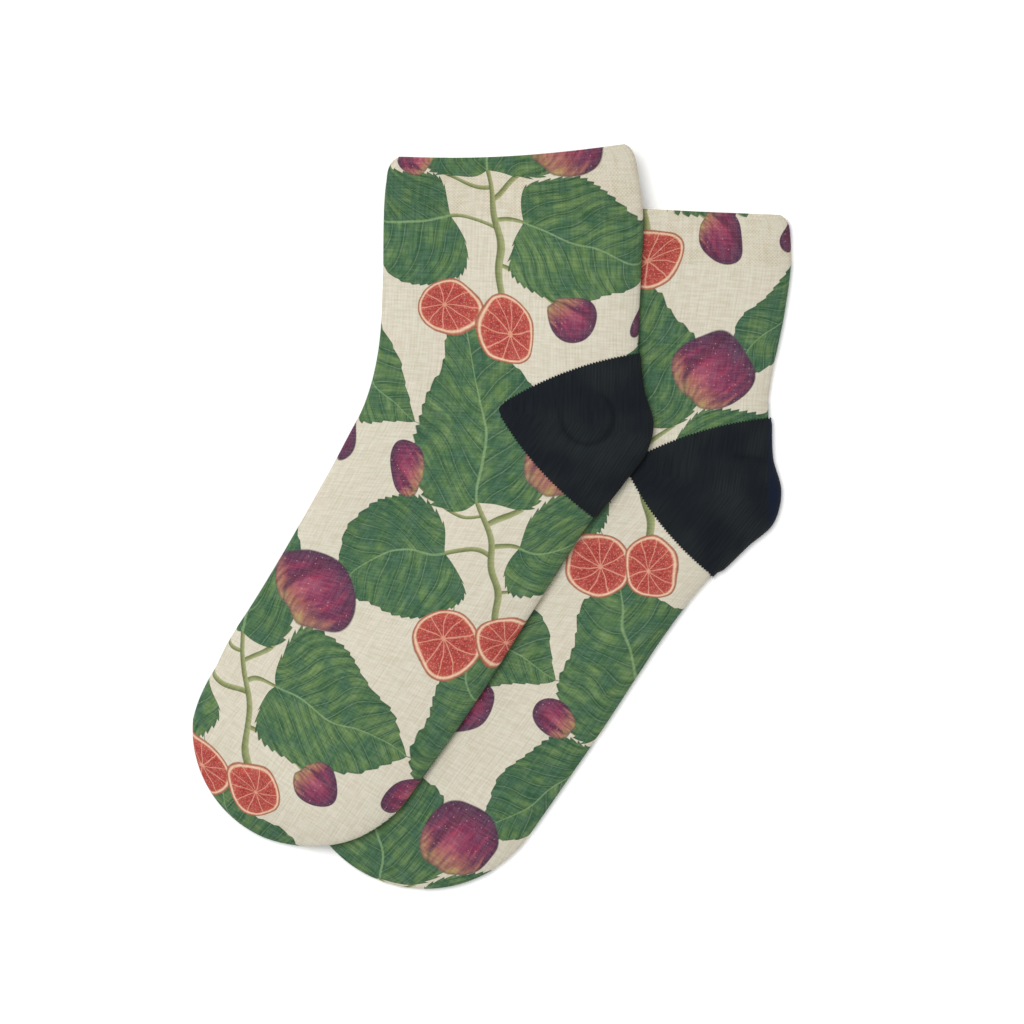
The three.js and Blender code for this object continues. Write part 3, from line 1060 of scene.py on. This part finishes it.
def heel_fabric(name, sock):
    """Near-black knit. Its ribs run up the leg above the heel's mitre and along the foot below it."""
    material, tree, shader = new_material(name)
    plan = in_mm(tree, object_place(tree))
    x, y, _ = parts_of(tree, plan)
    edge = np.array(sock["rows"])[:, 1]
    leg, foot = (edge[first] - edge[second] for first, second in (LEG_ROWS, FOOT_ROWS))
    tip = np.array(sock["heel"][0]) + FRAME_SHIFT[:2]
    corner = (edge[MITRE_ROWS[0]] + edge[MITRE_ROWS[1]]) / 2 + FRAME_SHIFT[:2]
    mitre = corner - tip
    over_mitre = (x - tip[0]) * float(-mitre[1]) + (y - tip[1]) * float(mitre[0])
    on_leg = over_mitre.above(0, MITRE_SOFTNESS)
    wave, course, streak = (
        below + (above - below) * on_leg
        for above, below in zip(ribs_along(tree, x, y, leg), ribs_along(tree, x, y, foot))
    )
    patches = noise(tree, plan, 0.06, 1.0)
    ribbed = patches.above(0.5, 0.25) * x.above(float(tip[0] + RIBS_FROM), RIBS_FADE)
    tone = wave * ribbed * 0.22 + streak * 0.6 + patches * 0.6 - 0.26
    colour = blend(tree, tone, srgb(15, 19, 21), srgb(37, 43, 46))
    # Painted navy sheen on the heel pocket beyond a given x, and some navy in random patches as the
    # yarn's own tone
    painted_sheen_and_navy_tone = x.above(sock["painted_sheen_from"], 1.5) * 0.7 + patches.below(0.46, 0.2) * 0.15
    colour = blend(tree, painted_sheen_and_navy_tone, colour, srgb(16, 26, 46))
    # Painted shade in the round crease of the upper heel
    if sock is UPPER:
        colour = painted_ring_shade(tree, x, y, colour)
    relief = wave * (ribbed * 0.3 + 0.1) + course * 0.25 + streak * 0.5
    matt_cloth(tree, shader, colour, relief, HEEL_BUMP)
    set_inputs(shader, {"Roughness": 0.85, "Sheen Weight": 0.03})
    return material


# How far the print is shifted on each sock, in mm
PRINT_OFFSET = {"upper": (-4.0, -14.0), "lower": (36.0, 22.0)}

groups = (leaf_group(), plum_group(), slice_group())
printed = {name: fabric(f"{name}_printed_knit", offset, groups) for name, offset in PRINT_OFFSET.items()}
welted = {
    name: fabric(f"{name}_printed_welt", offset, groups, cuff=True)
    for name, offset in PRINT_OFFSET.items()
}
inside = fabric("knit_inside", None, groups)
heel_knit = {sock["name"]: heel_fabric(f"{sock['name']}_heel_knit", sock) for sock in (LOWER, UPPER)}


def dress(piece, node, materials):
    """Give a piece its materials and its smooth shading, and tie it to its solid."""
    for material in materials:
        piece.data.materials.append(material)
    piece.data.polygons.foreach_set("use_smooth", np.ones(len(piece.data.polygons), bool))
    piece.data.set_sharp_from_angle(angle=math.radians(SHARP_ANGLE))
    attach(piece, "root")
    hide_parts(node)


def build_sock(sock, lift, crease):
    """The three pieces of one sock: its printed tube, its heel pocket and its cuff."""
    name = sock["name"]
    tube_rows = (CUFF_ROW - TUCK_UNDER_WELT, len(sock["rows"]) - 1)
    tube_depths = (0, KNIT_WALL)
    heel_depths = (-HEEL_PROUD, KNIT_WALL - HEEL_INNER_PROUD)
    welt_depths = (rim_depth(True, CUFF_WALL), rim_depth(False, CUFF_WALL))
    body = knitted_tube(f"{name}_printed_body", sock, tube_rows, True, tube_depths, lift, undulation)
    heel_relief = creased(crease)
    heel = knitted_tube(
        f"{name}_heel_pocket", sock, HEEL_ROWS, False, heel_depths, lift, heel_relief, FINE, heel_spread
    )
    cuff = knitted_tube(f"{name}_welt_cuff", sock, (0, CUFF_ROW), False, welt_depths, lift, undulation)
    cut(body, sock, "DIFFERENCE")
    cut(heel, sock, "INTERSECT")
    dress(body, f"{name}_sock_body", [printed[name], inside])
    dress(heel, f"{name}_sock_heel", [heel_knit[name], heel_knit[name]])
    dress(cuff, f"{name}_sock_cuff", [welted[name], inside])


build_sock(LOWER, no_drape, short_crease)
build_sock(UPPER, drape, ring_crease)

# Camera, straight above. The photograph is square, with pixels of this many mm, and the outlines'
# origin is at this pixel of it.
PHOTO_SIZE = 1024
PHOTO_ORIGIN = (492, 516.5)
PIXEL = 0.364
CAMERA_X = (PHOTO_SIZE / 2 - PHOTO_ORIGIN[0]) * PIXEL + FRAME_SHIFT[0]
CAMERA_Y = (PHOTO_ORIGIN[1] - PHOTO_SIZE / 2) * PIXEL + FRAME_SHIFT[1]
LENS = 500
SENSOR = 36
CAMERA_HEIGHT = PHOTO_SIZE * PIXEL * LENS / SENSOR
camera_data = bpy.data.cameras.new("camera")
camera_data.lens = LENS
camera_data.sensor_width = SENSOR
camera_data.clip_start = 0.01
camera_data.clip_end = 20
camera = add_object("camera", camera_data)
camera.location = (CAMERA_X * MM, CAMERA_Y * MM, CAMERA_HEIGHT * MM)
bpy.context.scene.camera = camera

# Floor and light, in metres and watts
WHITE = (1, 1, 1, 1)
FLOOR_HALF = 3.0
FLOOR_GLOW = 0.12
WORLD_STRENGTH = 0.58
KEY_SIZE = 1.6
KEY_ENERGY = 53
KEY_PLACE = (-0.8, 0.65, 2.8)

floor_mesh = bpy.data.meshes.new("floor")
corners = [(x * FLOOR_HALF, y * FLOOR_HALF, 0) for x, y in ((-1, -1), (1, -1), (1, 1), (-1, 1))]
floor_mesh.from_pydata(corners, [], [(0, 1, 2, 3)])
floor = add_object("floor", floor_mesh)
floor_material, _, floor_shader = new_material("floor")
set_inputs(floor_shader, {"Base Color": WHITE, "Roughness": 1.0})
set_inputs(floor_shader, {"Emission Color": WHITE, "Emission Strength": FLOOR_GLOW})
floor_mesh.materials.append(floor_material)

world = bpy.data.worlds.new("studio")
world.use_nodes = True
set_inputs(world.node_tree.nodes["Background"], {"Color": WHITE, "Strength": WORLD_STRENGTH})
bpy.context.scene.world = world

key_data = bpy.data.lights.new("key", "AREA")
key_data.shape = "DISK"
key_data.size = KEY_SIZE
key_data.energy = KEY_ENERGY
key = add_object("key", key_data)
key.location = KEY_PLACE
key.rotation_mode = "QUATERNION"
key.rotation_quaternion = (-key.location).to_track_quat("-Z", "Y")
bpy.context.scene.view_settings.view_transform = "Standard"
bpy.context.scene.view_settings.look = "None"
